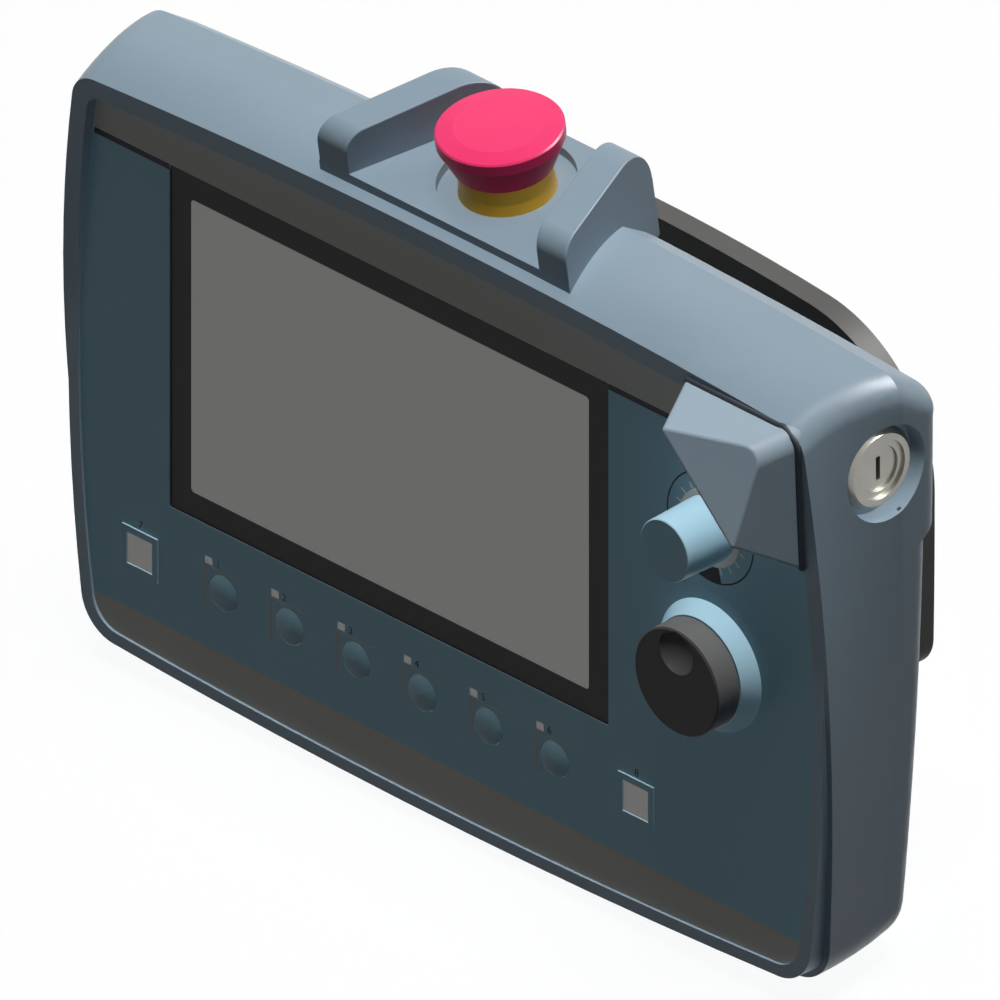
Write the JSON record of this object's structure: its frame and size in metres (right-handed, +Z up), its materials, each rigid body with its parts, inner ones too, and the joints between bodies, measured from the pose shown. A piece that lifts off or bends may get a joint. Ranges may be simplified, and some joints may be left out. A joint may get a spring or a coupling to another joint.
{
  "type": "handheld operator panel",
  "caption": "Handheld machine operator panel with a screen, membrane keys, a shrouded emergency stop, a handwheel, an override knob, a key lock and a rear palm grip with enabling paddles.",
  "frame": {"origin": "centre of the bounding box in plan, at the lowest line of the housing", "axes": "+X to the operator's right along the panel, +Y from the screen to the rear grip, +Z up to the emergency stop"},
  "size_m": [0.293, 0.1101, 0.2162],
  "materials": {
    "housing": "fine matt grain",
    "guard": "fine matt grain",
    "overlay": "satin film",
    "strip": "satin film",
    "bezel": "satin",
    "screen": "satin",
    "key": "satin film",
    "lamp": "satin",
    "black": "fine matt grain",
    "grip_rubber": "matt",
    "red": "semi gloss",
    "yellow": "semi gloss",
    "knob": "gloss",
    "silver": "brushed",
    "screw": "plain",
    "board": "plain",
    "module": "plain",
    "seal": "matt"
  },
  "bodies": {
    "housing": {"front_shell": "housing", "rear_shell": "housing", "housing_seal": "seal", "shell_screws": "screw", "header_strip": "strip", "keypad_overlay": "overlay", "footer_strip": "strip", "display_bezel": "bezel", "screen": "screen", "lcd_module": "module", "main_board": "board", "board_screws": "screw", "key_board": "board", "key_switches": "module", "key_frames": "lamp", "key_lamps": "lamp", "estop_guard": "guard", "estop_collar": "yellow", "estop_contact_block": "black", "corner_guard": "guard", "override_collar": "silver", "override_potentiometer": "module", "handwheel_base": "knob", "handwheel_encoder": "module", "lock_bezel": "silver", "lock_nut": "screw", "lock_switch": "module", "grip_neck": "black", "grip_plate": "black", "grip_pad": "grip_rubber", "grip_screws": "screw", "enabling_switches": "module", "cable_gland": "black", "gland_nut": "black"},
    "estop_stem": {"estop_stem": "black"},
    "estop_cap": {"estop_cap": "red"},
    "override": {"override_knob": "knob", "override_shaft": "screw"},
    "handwheel": {"handwheel_disc": "black", "handwheel_shaft": "screw"},
    "lock_core": {"lock_core": "silver"},
    "paddle_left": {"enabling_paddle_left": "grip_rubber"},
    "paddle_right": {"enabling_paddle_right": "grip_rubber"},
    "lamp_key_left": {"illuminated_key_left": "lamp"},
    "lamp_key_right": {"illuminated_key_right": "lamp"},
    "key_1": {"function_key_1": "key"},
    "key_2": {"function_key_2": "key"},
    "key_3": {"function_key_3": "key"},
    "key_4": {"function_key_4": "key"},
    "key_5": {"function_key_5": "key"},
    "key_6": {"function_key_6": "key"}
  },
  "joints": [
    {"name": "estop_press", "type": "slide", "parent": "housing", "child": "estop_stem", "axis": [0, 0.1521, -0.9884], "range_m": [0, 0.004], "stiffness_N_per_m": 2000},
    {"name": "estop_twist", "type": "hinge", "parent": "estop_stem", "child": "estop_cap", "pos_m": [0, -0.00825, 0.193], "axis": [0, -0.1521, 0.9884], "range_deg": [0, 35], "stiffness_Nm_per_rad": 0.1},
    {"name": "override_turn", "type": "hinge", "parent": "housing", "child": "override", "pos_m": [0.1007, -0.03125, 0.137], "axis": [0, -1, 0], "range_deg": [-150, 150]},
    {"name": "handwheel_spin", "type": "hinge", "parent": "housing", "child": "handwheel", "pos_m": [0.1007, -0.03125, 0.094], "axis": [0, -1, 0], "continuous": true},
    {"name": "lock_turn", "type": "hinge", "parent": "housing", "child": "lock_core", "pos_m": [0.1386, -0.00725, 0.1623], "axis": [1, 0, 0], "range_deg": [0, 90]},
    {"name": "paddle_left_press", "type": "slide", "parent": "housing", "child": "paddle_left", "axis": [0, 1, 0], "range_m": [0, 0.0035], "stiffness_N_per_m": 1500},
    {"name": "lamp_key_left_press", "type": "slide", "parent": "housing", "child": "lamp_key_left", "axis": [0, 1, 0], "range_m": [0, 0.0012], "stiffness_N_per_m": 1000},
    {"name": "paddle_right_press", "type": "slide", "parent": "housing", "child": "paddle_right", "axis": [0, 1, 0], "range_m": [0, 0.0035], "stiffness_N_per_m": 1500},
    {"name": "lamp_key_right_press", "type": "slide", "parent": "housing", "child": "lamp_key_right", "axis": [0, 1, 0], "range_m": [0, 0.0012], "stiffness_N_per_m": 1000},
    {"name": "key_1_press", "type": "slide", "parent": "housing", "child": "key_1", "axis": [0, 1, 0], "range_m": [0, 0.0007], "stiffness_N_per_m": 1000},
    {"name": "key_2_press", "type": "slide", "parent": "housing", "child": "key_2", "axis": [0, 1, 0], "range_m": [0, 0.0007], "stiffness_N_per_m": 1000},
    {"name": "key_3_press", "type": "slide", "parent": "housing", "child": "key_3", "axis": [0, 1, 0], "range_m": [0, 0.0007], "stiffness_N_per_m": 1000},
    {"name": "key_4_press", "type": "slide", "parent": "housing", "child": "key_4", "axis": [0, 1, 0], "range_m": [0, 0.0007], "stiffness_N_per_m": 1000},
    {"name": "key_5_press", "type": "slide", "parent": "housing", "child": "key_5", "axis": [0, 1, 0], "range_m": [0, 0.0007], "stiffness_N_per_m": 1000},
    {"name": "key_6_press", "type": "slide", "parent": "housing", "child": "key_6", "axis": [0, 1, 0], "range_m": [0, 0.0007], "stiffness_N_per_m": 1000}
  ]
}
